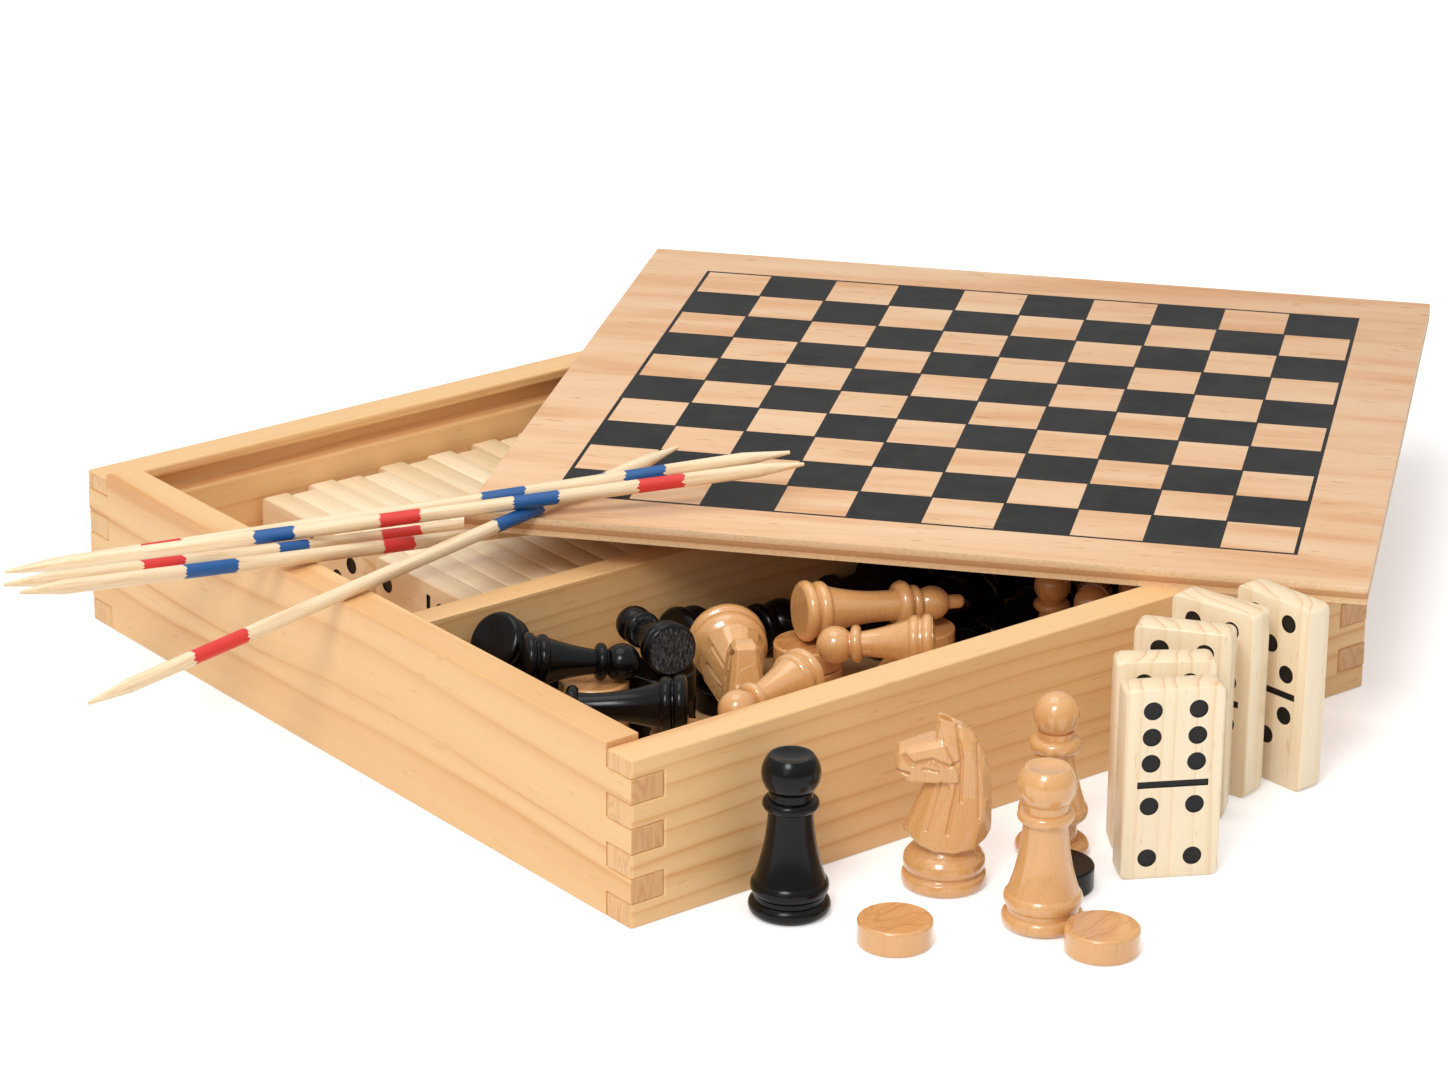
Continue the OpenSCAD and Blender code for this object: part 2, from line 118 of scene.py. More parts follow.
class Shade:
    def __init__(self, name, roughness=0.45, coat=0.0, coat_roughness=0.1, specular=0.5):
        self.mat = bpy.data.materials.new(name)
        self.mat.use_nodes = True
        self.tree = self.mat.node_tree
        self.bsdf = self.tree.nodes["Principled BSDF"]
        self.bsdf.inputs["Roughness"].default_value = roughness
        self.bsdf.inputs["Specular IOR Level"].default_value = specular
        if coat:
            self.bsdf.inputs["Coat Weight"].default_value = coat
            self.bsdf.inputs["Coat Roughness"].default_value = coat_roughness
        self.coord = self.tree.nodes.new("ShaderNodeTexCoord")

    def put(self, socket, value):
        if isinstance(value, bpy.types.NodeSocket):
            self.tree.links.new(value, socket)
        elif isinstance(value, (tuple, list)) and len(value) == 3 and socket.type == "RGBA":
            socket.default_value = (*value, 1.0)
        else:
            socket.default_value = value

    def math(self, operation, a, b=None, clamp=False):
        node = self.tree.nodes.new("ShaderNodeMath")
        node.operation, node.use_clamp = operation, clamp
        self.put(node.inputs[0], a)
        if b is not None:
            self.put(node.inputs[1], b)
        return node.outputs[0]

    def vector(self, operation, a, b):
        node = self.tree.nodes.new("ShaderNodeVectorMath")
        node.operation = operation
        self.put(node.inputs[0], a)
        self.put(node.inputs[1], b)
        return node.outputs["Value" if operation == "DOT_PRODUCT" else "Vector"]

    def mix(self, factor, a, b, blend="MIX"):
        node = self.tree.nodes.new("ShaderNodeMix")
        node.data_type, node.blend_type = "RGBA", blend
        self.put(node.inputs[0], factor)
        self.put(node.inputs[6], a)
        self.put(node.inputs[7], b)
        return node.outputs[2]

    def ramp(self, factor, stops):
        """Stops are (place, colour) or (place, grey)."""
        node = self.tree.nodes.new("ShaderNodeValToRGB")
        elements = node.color_ramp.elements
        while len(elements) < len(stops):
            elements.new(0.5)
        for element, (place, colour) in zip(elements, stops):
            element.position = place
            element.color = (*colour, 1.0) if isinstance(colour, tuple) else (colour, colour, colour, 1.0)
        self.put(node.inputs[0], factor)
        return node.outputs[0]

    def noise(self, vector, scale, detail=2.0, roughness=0.5, distortion=0.0):
        node = self.tree.nodes.new("ShaderNodeTexNoise")
        self.put(node.inputs["Vector"], vector)
        for key, value in (("Scale", scale), ("Detail", detail), ("Roughness", roughness),
                           ("Distortion", distortion)):
            node.inputs[key].default_value = value
        return node.outputs["Fac"]

    def local(self, place=(0, 0, 0), turn=(0, 0, 0)):
        """Object coordinates in millimetres, in a frame at place (mm) with turn (degrees)."""
        node = self.tree.nodes.new("ShaderNodeMapping")
        node.vector_type = "TEXTURE"
        self.put(node.inputs["Vector"], self.coord.outputs["Object"])
        node.inputs["Location"].default_value = [v * MM for v in place]
        node.inputs["Rotation"].default_value = [math.radians(v) for v in turn]
        node.inputs["Scale"].default_value = (MM, MM, MM)
        return node.outputs[0]

    def split(self, vector):
        node = self.tree.nodes.new("ShaderNodeSeparateXYZ")
        self.put(node.inputs[0], vector)
        return node.outputs

    def join(self, x, y, z):
        node = self.tree.nodes.new("ShaderNodeCombineXYZ")
        for socket, value in zip(node.inputs, (x, y, z)):
            self.put(socket, value)
        return node.outputs[0]

    def normal(self):
        return self.coord.outputs["Normal"]

    def between(self, value, low, high):
        """1 where low < value < high, else 0."""
        return self.math("MULTIPLY", self.math("GREATER_THAN", value, low),
                         self.math("LESS_THAN", value, high))

    def swing(self, share, reach):
        """A value of 0..1 spread over -reach..reach."""
        return self.math("MULTIPLY", self.math("SUBTRACT", share, 0.5), 2 * reach)

    def bump(self, height, strength, distance_mm):
        node = self.tree.nodes.new("ShaderNodeBump")
        node.inputs["Strength"].default_value = strength
        node.inputs["Distance"].default_value = distance_mm * MM
        self.put(node.inputs["Height"], height)
        self.put(self.bsdf.inputs["Normal"], node.outputs[0])

    def colour(self, value):
        self.put(self.bsdf.inputs["Base Color"], value)

    def gloss(self, factor, low, high):
        """Roughness that follows a factor between two values."""
        node = self.tree.nodes.new("ShaderNodeMapRange")
        self.put(node.inputs["Value"], factor)
        node.inputs["To Min"].default_value = low
        node.inputs["To Max"].default_value = high
        self.put(self.bsdf.inputs["Roughness"], node.outputs[0])


def srgb(r, g, b):
    """A colour given as 0..255 sRGB, in linear light."""
    return tuple((c / 255 / 12.92) if c <= 10 else ((c / 255 + 0.055) / 1.055) ** 2.4
                 for c in (r, g, b))


def set_material(node, material):
    data = nodes[node].data
    data.materials.clear()
    data.materials.append(material)


# Wood. Noise scales are per millimetre, and the steps of rings in millimetres.

# From one ring to the next: pale early wood, darker late wood, and a quick fall back
RING_STOPS = [(0.0, 0.25), (0.12, 0.0), (0.5, 0.06), (0.8, 0.35), (0.94, 1.0), (1.0, 0.25)]
FLECK_STOPS = [(0.0, 0.0), (0.70, 0.0), (0.76, 1.0), (1.0, 1.0)]
END_FACE_STOPS = [(0.0, 0.0), (0.72, 0.0), (0.86, 1.0), (1.0, 1.0)]
# The scale of the rings' waves, a second place to read them at, and how uneven their steps are
RING_WAVE, WAVE_SHIFT, RING_UNEVEN = 0.035, (37.0, 11.0, 5.0), 1.6


def wood(shade, point, axis, centre, step, pale, dark, wobble, contrast, fibre):
    """Solid wood: growth rings round a line along axis (0, 1 or 2), cut by the surface.
    Returns the colour, the ring value and the fibre value."""
    across = list(shade.split(point))
    along = across.pop(axis)
    bend = shade.join(shade.math("MULTIPLY", along, 0.12), *across)
    shifted = shade.vector("ADD", bend, WAVE_SHIFT)
    away_a, away_b = (
        shade.math("SUBTRACT", shade.math("ADD", place, shade.swing(shade.noise(wave, RING_WAVE), wobble)),
                   middle)
        for place, wave, middle in zip(across, (bend, shifted), centre))
    radius = shade.math("SQRT", shade.math(
        "ADD", shade.math("MULTIPLY", away_a, away_a), shade.math("MULTIPLY", away_b, away_b)))
    uneven = shade.math("MULTIPLY", shade.noise(shade.join(radius, 0.0, 0.0), 0.12, 1.0), RING_UNEVEN * step)
    ring = shade.math("FRACT", shade.math("DIVIDE", shade.math("ADD", radius, uneven), step))
    late = shade.ramp(ring, RING_STOPS)
    streak = shade.noise(shade.join(shade.math("MULTIPLY", along, 0.025), *across), 2.2, 3.0, 0.6)
    patch = shade.noise(shade.join(shade.math("MULTIPLY", along, 0.25), *across), 0.045)
    amount = shade.math("MULTIPLY", late, shade.math("MULTIPLY", patch, 1.5 * contrast), clamp=True)
    tint = shade.math("ADD", shade.swing(streak, fibre), 1.0)
    colour = shade.mix(1.0, shade.mix(amount, pale, dark), shade.join(tint, tint, tint), "MULTIPLY")
    return colour, late, streak


def flecks(shade, point, axis, colour, dark, amount):
    """Short dark dashes along the grain, as resin ducts and pores look."""
    across = list(shade.split(point))
    along = across.pop(axis)
    stretched = shade.join(shade.math("MULTIPLY", along, 0.14), *across)
    dots = shade.ramp(shade.noise(stretched, 0.9, 1.0, 0.4), FLECK_STOPS)
    return shade.mix(shade.math("MULTIPLY", dots, amount), colour, dark)


def end_grain(shade, axis):
    """1 on faces that the grain along axis runs out of."""
    way = [1.0 if i == axis else 0.0 for i in range(3)]
    facing = shade.math("ABSOLUTE", shade.vector("DOT_PRODUCT", shade.normal(), way))
    return shade.ramp(facing, END_FACE_STOPS)


# Walls, divider and base: pine with a thin coat

PINE_PALE, PINE_DARK, PINE_FLECK = srgb(236, 192, 135), srgb(216, 152, 88), srgb(205, 145, 80)
PINE_END, PINE_END_PALE, PINE_END_SPECK = srgb(214, 162, 108), srgb(230, 184, 128), srgb(222, 176, 122)
# The arcs of late wood in the end grain, and how much of the end's red, green and blue they keep
ARC_STOPS = [(0.34, 0.0), (0.38, 1.0), (0.42, 0.0), (0.48, 0.0), (0.52, 0.9), (0.56, 0.0), (0.62, 0.8),
             (0.66, 0.0)]
ARC_SHARES = (0.78, 0.62, 0.48)
# Each board: material, axis of its grain, centre of its rings across that, their step, colour of its
# end grain, contrast, and waviness
PINE_BOARDS = {
    "wall_left": ("pine_left", 1, (-176.0, -58.0), 10.5, PINE_END, 0.95, 9.0),
    "wall_right": ("pine_right", 1, (190.0, -60.0), 6.0, PINE_END, 0.8, 6.0),
    "wall_front": ("pine_front", 0, (-96.0, -112.0), 6.0, PINE_END_PALE, 0.95, 8.0),
    "wall_back": ("pine_back", 0, (60.0, -90.0), 7.2, PINE_END_PALE, 0.8, 6.0),
    "divider": ("pine_divider", 0, (-40.0, -80.0), 4.5, PINE_END, 0.8, 6.0),
    "base_panel": ("pine_base", 0, (20.0, -300.0), 7.0, PINE_END, 0.8, 6.0),
}


def pine(name, axis, centre, step, end, contrast, wobble):
    s = Shade(name, coat=0.15, coat_roughness=0.3)
    point = s.local()
    colour, late, streak = wood(s, point, axis, centre, step, PINE_PALE, PINE_DARK, wobble, contrast, 0.06)
    colour = flecks(s, point, axis, colour, PINE_FLECK, 0.3)
    speck = s.noise(point, 1.6, 3.0, 0.7)
    across = (0.5, 0.0, 0.12) if axis else (0.0, 0.5, 0.12)
    arcs = s.ramp(s.noise(s.vector("MULTIPLY", point, across), 0.42, 0.0, 0.4, 0.3), ARC_STOPS)
    end_dark = tuple(c * share for c, share in zip(end, ARC_SHARES))
    end_colour = s.mix(s.math("MULTIPLY", arcs, 0.75), end, end_dark)
    end_colour = s.mix(s.math("MULTIPLY", speck, 0.35), end_colour, PINE_END_SPECK)
    s.colour(s.mix(end_grain(s, axis), colour, end_colour))
    s.gloss(streak, 0.38, 0.52)
    s.bump(s.math("ADD", s.math("MULTIPLY", late, 0.5), streak), 0.25, 0.12)
    return s.mat


# The lid: plywood, printed with ink

PLY_FACE_STOPS = [(0.3, srgb(243, 210, 173)), (0.5, srgb(237, 196, 155)), (0.66, srgb(225, 173, 127))]
PLY_FINE, PLY_FLECK, PLY_GRIT = srgb(212, 158, 110), srgb(180, 120, 70), srgb(170, 118, 76)
INK_STOPS = [(0.35, srgb(17, 17, 17)), (0.65, srgb(36, 34, 33))]
# The edge shows three plies, from the bottom up
PLY_EDGE_STOPS = [(0.0, srgb(238, 204, 160)), (0.30, srgb(226, 184, 138)), (0.33, srgb(190, 138, 94)),
                  (0.62, srgb(205, 156, 112)), (0.66, srgb(232, 192, 148)), (0.95, srgb(246, 216, 176))]
# Painted shade: the face is a little darker towards the right, from x = -60 mm over 320 mm
PAINTED_SHADE_SHIFT, PAINTED_SHADE_RUN = 60.0, 320.0
PAINTED_SHADE_STOPS = [(0.0, (1.0, 1.0, 1.0)), (1.0, (0.84, 0.81, 0.8))]
# The border of the squares, from just inside them, and half of the line between two squares
BORDER_IN, BORDER_OUT, HALF_LINE = 0.1, 0.8, 0.3
# The share of up in the normal that parts the lid's faces from its edge
FACE_UP = 0.6


def plywood():
    s = Shade("plywood_board", specular=0.25)
    point = s.local((LID_X, LID_Y, LID_Z), (0, 0, LID_YAW))
    x, y, z = s.split(point)
    band = s.noise(s.vector("MULTIPLY", point, (0.12, 1.0, 0.2)), 0.07, 3.0, 0.55, 0.6)
    fine = s.noise(s.vector("MULTIPLY", point, (0.1, 1.0, 0.0)), 0.7, 4.0, 0.65)
    face = s.mix(s.math("MULTIPLY", fine, 0.3), s.ramp(band, PLY_FACE_STOPS), PLY_FINE)
    face = flecks(s, point, 0, face, PLY_FLECK, 0.5)
    # Painted shade: the face is darkened towards the right
    painted_shade = s.math("DIVIDE", s.math("ADD", s.split(s.local())[0], PAINTED_SHADE_SHIFT), PAINTED_SHADE_RUN)
    face = s.mix(1.0, face, s.ramp(painted_shade, PAINTED_SHADE_STOPS), "MULTIPLY")

    # The printed squares, with a thin line round them and between them
    half = SQUARE * SQUARES / 2
    cell_x, cell_y = (s.math("DIVIDE", v, SQUARE) for v in (x, y))
    parity = s.math("MODULO", s.math("ADD", s.math("FLOOR", cell_x), s.math("FLOOR", cell_y)), 2.0)
    even = s.math("SUBTRACT", 1.0, s.math("ABSOLUTE", parity))
    reach = s.math("MAXIMUM", s.math("ABSOLUTE", x), s.math("ABSOLUTE", y))
    inside = s.math("LESS_THAN", reach, half)
    border = s.between(reach, half - BORDER_IN, half + BORDER_OUT)
    away_x, away_y = (s.math("ABSOLUTE", s.math("SUBTRACT", s.math("FRACT", cell), 0.5))
                      for cell in (cell_x, cell_y))
    near_line = s.math("GREATER_THAN", s.math("MAXIMUM", away_x, away_y), 0.5 - HALF_LINE / SQUARE)
    line = s.math("MULTIPLY", inside, near_line)
    ink = s.math("MAXIMUM", s.math("MAXIMUM", s.math("MULTIPLY", even, inside), border), line)
    up = s.split(s.normal())[2]
    ink = s.math("MULTIPLY", ink, s.math("GREATER_THAN", up, FACE_UP))
    face = s.mix(ink, face, s.ramp(s.noise(point, 0.09, 4.0, 0.6), INK_STOPS))

    grit = s.noise(s.vector("MULTIPLY", point, (0.8, 0.8, 2.0)), 1.1, 3.0, 0.7)
    grit = s.math("MULTIPLY", s.ramp(grit, [(0.5, 0.0), (0.75, 1.0)]), 0.45)
    edge = s.mix(grit, s.ramp(s.math("DIVIDE", z, LID_T), PLY_EDGE_STOPS), PLY_GRIT)
    s.colour(s.mix(s.math("LESS_THAN", s.math("ABSOLUTE", up), FACE_UP), face, edge))
    s.gloss(fine, 0.4, 0.55)
    s.bump(s.math("ADD", fine, s.math("MULTIPLY", ink, 0.5)), 0.2, 0.08)
    return s.mat


# The sticks: pale split wood with painted bands

STICK_STOPS = [(0.35, srgb(248, 228, 194)), (0.55, srgb(240, 214, 175)), (0.72, srgb(220, 176, 128))]
STICK_STREAK = srgb(205, 165, 120)
RED, BLUE = srgb(224, 52, 46), srgb(22, 88, 152)
# Each stick's bands from its left tip: start and end as shares of its length, and colour
BANDS = {
    "stick_lid": [(0.158, 0.243, RED), (0.664, 0.745, BLUE), (0.836, 0.864, BLUE)],
    "stick_upper_front": [(0.294, 0.344, BLUE), (0.452, 0.503, RED), (0.622, 0.680, BLUE),
                          (0.783, 0.842, RED)],
    "stick_upper_back": [(0.17, 0.22, RED), (0.60, 0.656, BLUE), (0.785, 0.837, BLUE)],
    "stick_under_front": [(0.239, 0.319, BLUE), (0.552, 0.603, RED)],
    "stick_under_back": [(0.200, 0.264, RED), (0.412, 0.460, BLUE), (0.580, 0.646, RED)],
}
# How far a band's end strays, and how dark its paint gets over the fibres
RAGGED_MM, PAINT_DARK = 1.5, 0.55


def stick_wood(node, bands):
    points = [v.co for v in nodes[node].data.vertices]
    left = min(points, key=lambda v: v.x) / MM
    right = max(points, key=lambda v: v.x) / MM
    run = right - left
    length = run.length
    yaw = math.degrees(math.atan2(run.y, run.x))
    pitch = -math.degrees(math.asin(run.z / length))
    s = Shade(node + "_wood", coat=0.1, coat_roughness=0.4)
    point = s.local(left, (0, pitch, yaw))
    grain = s.noise(s.vector("MULTIPLY", point, (0.03, 1.0, 1.0)), 0.9, 3.0, 0.6)
    streak = s.noise(s.vector("MULTIPLY", point, (0.05, 1.0, 1.0)), 4.0, 2.0, 0.6)
    colour = s.mix(s.math("MULTIPLY", streak, 0.25), s.ramp(grain, STICK_STOPS), STICK_STREAK)
    ragged = s.swing(s.noise(s.vector("MULTIPLY", point, (0.0, 1.0, 1.0)), 1.5), RAGGED_MM)
    place = s.math("DIVIDE", s.math("ADD", s.split(point)[0], ragged), length)
    for start, end, paint in bands:
        shaded = s.mix(s.math("MULTIPLY", streak, 0.3), paint, tuple(c * PAINT_DARK for c in paint))
        colour = s.mix(s.between(place, start, end), colour, shaded)
    s.colour(colour)
    s.gloss(streak, 0.42, 0.6)
    s.bump(s.math("ADD", grain, streak), 0.35, 0.15)
    return s.mat


# Chessmen and draughtsmen: clear and black lacquer

NATURAL_PALE, NATURAL_DARK = srgb(222, 167, 105), srgb(200, 139, 80)
NATURAL_CLOUD, NATURAL_FLECK = srgb(216, 160, 102), srgb(176, 116, 62)
SWIRL_STOPS = [(0.35, srgb(220, 162, 102)), (0.46, srgb(214, 152, 92)), (0.5, srgb(194, 130, 74)),
               (0.54, srgb(218, 158, 98)), (0.62, srgb(208, 146, 88)), (0.65, srgb(220, 162, 102))]
BLACK_STOPS = [(0.3, srgb(6, 6, 7)), (0.7, srgb(15, 14, 14))]
WORN_STOPS = [(0.42, srgb(24, 24, 25)), (0.58, srgb(74, 74, 76)), (0.7, srgb(120, 120, 122))]


def natural(name, seed, flat_top):
    """Glossy clear lacquer on turned wood, its grain along the piece. A flat top shows swirled grain."""
    s = Shade(name, coat=1.0, coat_roughness=0.05)
    point = s.local((seed, seed * 2, seed * 3))
    colour, _, streak = wood(s, point, 2, (-34.0, 19.0), 3.4, NATURAL_PALE, NATURAL_DARK, 3.0, 0.4, 0.05)
    colour = s.mix(s.math("MULTIPLY", s.noise(point, 0.16, 3.0, 0.6), 0.5), colour, NATURAL_CLOUD)
    colour = flecks(s, point, 2, colour, NATURAL_FLECK, 0.2)
    if flat_top:
        up = s.ramp(s.split(s.normal())[2], [(0.8, 0.0), (0.95, 1.0)])
        swirl = s.noise(s.vector("MULTIPLY", point, (0.35, 1.0, 0.3)), 0.14, 1.5, 0.4, 0.8)
        colour = s.mix(up, colour, s.ramp(swirl, SWIRL_STOPS))
    s.colour(colour)
    s.gloss(streak, 0.22, 0.34)
    s.bump(streak, 0.08, 0.06)
    return s.mat


def black_lacquer(name, foot=None):
    """Thick black gloss lacquer: a little orange peel, and dust-fine wear that dulls it. With foot, the
    direction that a lying piece's foot faces, that face shows rough end grain through a thin coat."""
    s = Shade(name, specular=0.24)
    point = s.local()
    peel = s.noise(point, 0.5)
    dull = s.noise(point, 0.12, 4.0, 0.65)
    colour = s.ramp(dull, BLACK_STOPS)
    if foot is None:
        s.colour(colour)
        s.gloss(dull, 0.14, 0.26)
        s.bump(peel, 0.08, 0.15)
        return s.mat
    facing = s.vector("DOT_PRODUCT", s.normal(), foot)
    end = s.ramp(facing, [(0.0, 0.0), (0.93, 0.0), (0.98, 1.0)])
    rough = s.noise(s.vector("MULTIPLY", point, (2.0, 2.0, 0.7)), 1.1, 4.0, 0.7)
    s.colour(s.mix(end, colour, s.ramp(rough, WORN_STOPS)))
    s.gloss(s.math("MAXIMUM", s.math("MULTIPLY", dull, 0.3), s.math("MULTIPLY", end, 0.8)), 0.14, 0.5)
    s.bump(s.math("ADD", s.math("MULTIPLY", peel, 0.3), s.math("MULTIPLY", rough, end)), 0.35, 0.3)
    return s.mat


# Dominoes: pale satin wood and black paint

DOMINO_PALE, DOMINO_DARK, DOMINO_FLECK = srgb(250, 232, 200), srgb(238, 200, 148), srgb(205, 150, 95)
DOMINO_END, DOMINO_END_RING = srgb(242, 214, 172), srgb(220, 170, 118)
UPRIGHT_TONES = [(0.0, (0.93, 0.93, 0.92)), (1.0, (1.0, 1.0, 1.0))]
LYING_TONES = [(0.0, (0.84, 0.77, 0.66)), (0.5, (0.94, 0.9, 0.84)), (1.0, (1.0, 0.99, 0.96))]
PAINT_STOPS = [(0.3, srgb(17, 17, 17)), (0.7, srgb(31, 30, 29))]
# How far apart the wood of two tiles is cut, and the spread of their tones
TILE_SHIFT, TONE_SPREAD = 190.0, 7.3


def domino_wood(name, axis, contrast, tones):
    """Wood with its grain along axis, cut differently in each tile."""
    s = Shade(name, coat=0.3, coat_roughness=0.25)
    island = s.tree.nodes.new("ShaderNodeNewGeometry").outputs["Random Per Island"]
    shift = s.math("MULTIPLY", island, TILE_SHIFT)
    point = s.vector("ADD", s.local(), s.join(shift, shift, shift))
    colour, late, streak = wood(s, point, axis, (-60.0, 35.0), 4.2, DOMINO_PALE, DOMINO_DARK, 7.0, contrast,
                                0.05)
    colour = flecks(s, point, axis, colour, DOMINO_FLECK, 0.3)
    tone = s.math("FRACT", s.math("MULTIPLY", island, TONE_SPREAD))
    colour = s.mix(1.0, colour, s.ramp(tone, tones), "MULTIPLY")
    ends = s.math("MULTIPLY", end_grain(s, axis), 0.75)
    s.colour(s.mix(ends, colour, s.mix(late, DOMINO_END, DOMINO_END_RING)))
    s.gloss(streak, 0.34, 0.48)
    s.bump(streak, 0.1, 0.08)
    return s.mat


def pip_paint():
    s = Shade("pip_paint", specular=0.3)
    dull = s.noise(s.local(), 0.6, 3.0)
    s.colour(s.ramp(dull, PAINT_STOPS))
    s.gloss(dull, 0.35, 0.55)
    return s.mat


# Materials and eased edges of the box, the lid and the sticks

# Width of the eased edges, their steps, the least angle of an edge, and the gap that welds points
WALL_EASE, LID_EASE = 0.7, 0.5
EASE_STEPS, EASE_ANGLE, WELD_GAP = 2, math.radians(60), 0.01


def ease(node, width):
    """Rounds the long edges of a flat piece a little; its outer size stays."""
    obj = nodes[node]
    weld = obj.modifiers.new("weld", "WELD")
    weld.merge_threshold = WELD_GAP * MM
    bevel = obj.modifiers.new("ease", "BEVEL")
    bevel.width, bevel.segments = width * MM, EASE_STEPS
    bevel.limit_method, bevel.angle_limit = "ANGLE", EASE_ANGLE


for name, board in PINE_BOARDS.items():
    set_material(name, pine(*board))
set_material("lid_board", plywood())
for name in ("wall_left", "wall_right", "wall_front", "wall_back", "divider"):
    ease(name, WALL_EASE)
ease("lid_board", LID_EASE)
for name, bands in BANDS.items():
    set_material(name, stick_wood(name, bands))


# Making meshes

def new_object(name, bm, materials=()):
    """An object in the scene, in metres, from a bmesh in millimetres."""
    data = bpy.data.meshes.new(name)
    bmesh.ops.scale(bm, vec=(MM, MM, MM), verts=bm.verts)
    bm.to_mesh(data)
    bm.free()
    for material in materials:
        data.materials.append(material)
    return add_object(name, data)


def settle(obj):
    """Applies an object's modifiers."""
    bpy.context.view_layer.update()
    shown = obj.evaluated_get(bpy.context.evaluated_depsgraph_get())
    data = bpy.data.meshes.new_from_object(shown)
    obj.modifiers.clear()
    old, obj.data = obj.data, data
    bpy.data.meshes.remove(old)


def cut(obj, cutter):
    """Takes the cutter's shape out of obj; the cut faces keep the cutter's material."""
    tool = obj.modifiers.new("cut", "BOOLEAN")
    tool.operation, tool.solver, tool.object = "DIFFERENCE", "EXACT", cutter
    tool.material_mode = "TRANSFER"
    settle(obj)
    data = cutter.data
    bpy.data.objects.remove(cutter)
    bpy.data.meshes.remove(data)


# The dominoes: tiles with eased edges, and painted pips and bars sunk into them

# How much a tile's edge is eased, where its rounding turns, and the arc steps of a corner
EDGE_EASE, EASE_TURN, CORNER_STEPS = 0.5, 0.3, 4
CUTTER_H, PIP_SIDES = 2.0, 32
# Edges sharper than this aren't smoothed over
SHARP = math.radians(50)


def pips(number):
    """Places of a number's pips in its half, in steps along and across the tile."""
    return [(i, j) for i in (-1, 0, 1) for j in (-1, 0, 1)
            if (i == 0 and j == 0 and number % 2) or (i * j == 1 and number > 1)
            or (i * j == -1 and number > 3) or (i == 0 and j and number == 6)]


def tile_outline():
    """The front of a tile standing on z = 0, as (x, z) points round it."""
    points = []
    for corner, (sx, sz) in enumerate(((1, 1), (-1, 1), (-1, -1), (1, -1))):
        for step in range(CORNER_STEPS + 1):
            angle = math.radians(90 * corner + 90 / CORNER_STEPS * step)
            points.append((sx * (DOM_W / 2 - DOM_R) + DOM_R * math.cos(angle),
                           DOM_L / 2 + sz * (DOM_L / 2 - DOM_R) + DOM_R * math.sin(angle)))
    return points


def tile(bm, cutter, top, bottom, matrix):
    """Adds a tile with rounded edges to bm, and the shapes of its pips and bar to cutter."""
    outline = tile_outline()
    turn = EDGE_EASE * EASE_TURN
    rows = []
    for depth, inset in ((0.0, EDGE_EASE), (turn, turn), (EDGE_EASE, 0.0), (DOM_T - EDGE_EASE, 0.0),
                         (DOM_T - turn, turn), (DOM_T, EDGE_EASE)):
        row = []
        for x, z in outline:
            mid_x = max(-DOM_W / 2 + DOM_R, min(DOM_W / 2 - DOM_R, x))
            mid_z = max(DOM_R, min(DOM_L - DOM_R, z))
            share = 1 - inset / DOM_R
            row.append(bm.verts.new(matrix @ Vector((mid_x + (x - mid_x) * share, depth,
                                                     mid_z + (z - mid_z) * share))))
        rows.append(row)
    bm.faces.new(rows[0])
    bm.faces.new(rows[-1][::-1])
    count = len(outline)
    for low, high in zip(rows, rows[1:]):
        for i in range(count):
            bm.faces.new((low[i], high[i], high[(i + 1) % count], low[(i + 1) % count]))

    cut_y = PIP_DEEP - CUTTER_H / 2
    for side, number in ((1, top), (-1, bottom)):
        for i, j in pips(number):
            place = (j * PIP_GAP / 2, cut_y, DOM_L / 2 + side * DOM_L / 4 + i * PIP_STEP)
            bmesh.ops.create_cone(cutter, cap_ends=True, segments=PIP_SIDES, radius1=PIP_D / 2,
                                  radius2=PIP_D / 2, depth=CUTTER_H,
                                  matrix=matrix @ Matrix.Translation(place)
                                  @ Matrix.Rotation(math.pi / 2, 4, "X"))
    bmesh.ops.create_cube(cutter, size=1.0, matrix=matrix @ Matrix.Translation((0, cut_y, DOM_L / 2))
                          @ Matrix.Diagonal((BAR_L, CUTTER_H, BAR_W, 1.0)))


def tiles(name, node, body, placed, material, paint):
    """One object of tiles, each given as (top number, bottom number, matrix), in place of a node."""
    bm, cutter = bmesh.new(), bmesh.new()
    for top, bottom, matrix in placed:
        tile(bm, cutter, top, bottom, matrix)
    bmesh.ops.recalc_face_normals(bm, faces=bm.faces)
    bmesh.ops.recalc_face_normals(cutter, faces=cutter.faces)
    obj = new_object(name, bm, (material, paint))
    cut(obj, new_object(name + "_cut", cutter, (paint,)))
    obj.data.set_sharp_from_angle(angle=SHARP)
    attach(obj, body)
    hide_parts(node)


def add_dominoes():
    paint = pip_paint()
    upright = domino_wood("domino_wood_upright", 2, 0.6, UPRIGHT_TONES)
    lying = domino_wood("domino_wood_lying", 1, 0.4, LYING_TONES)
    for number, (x, y, yaw, top, bottom) in enumerate(STANDING, 1):
        matrix = Matrix.Translation((x, y, 0)) @ Matrix.Rotation(math.radians(yaw), 4, "Z")
        node = f"domino_standing_{number}"
        tiles(f"tile_standing_{number}", node, node, [(top, bottom, matrix)], upright, paint)
    for name, row, mid_y, way in (("back", BACK_ROW, BACK_ROW_Y, 1), ("front", FRONT_ROW, FRONT_ROW_Y, -1)):
        placed = []
        for i, (top, bottom) in enumerate(row):
            matrix = (Matrix.Translation((ROW_X + i * ROW_PITCH, mid_y + way * ROW_STEPS[i], FLOOR_Z))
                      @ Matrix.Rotation(-math.pi / 2, 4, "Z") @ Matrix.Rotation(math.pi / 2, 4, "Y")
                      @ Matrix.Translation((-DOM_W / 2, 0, -DOM_L / 2)))
            placed.append((top, bottom, matrix))
        tiles(f"tiles_{name}_row", f"dominoes_{name}_row", "box", placed, lying, paint)


add_dominoes()


# The knights: a turned foot, and a horse's head carved in flat cuts

LATHE_SIDES = 72
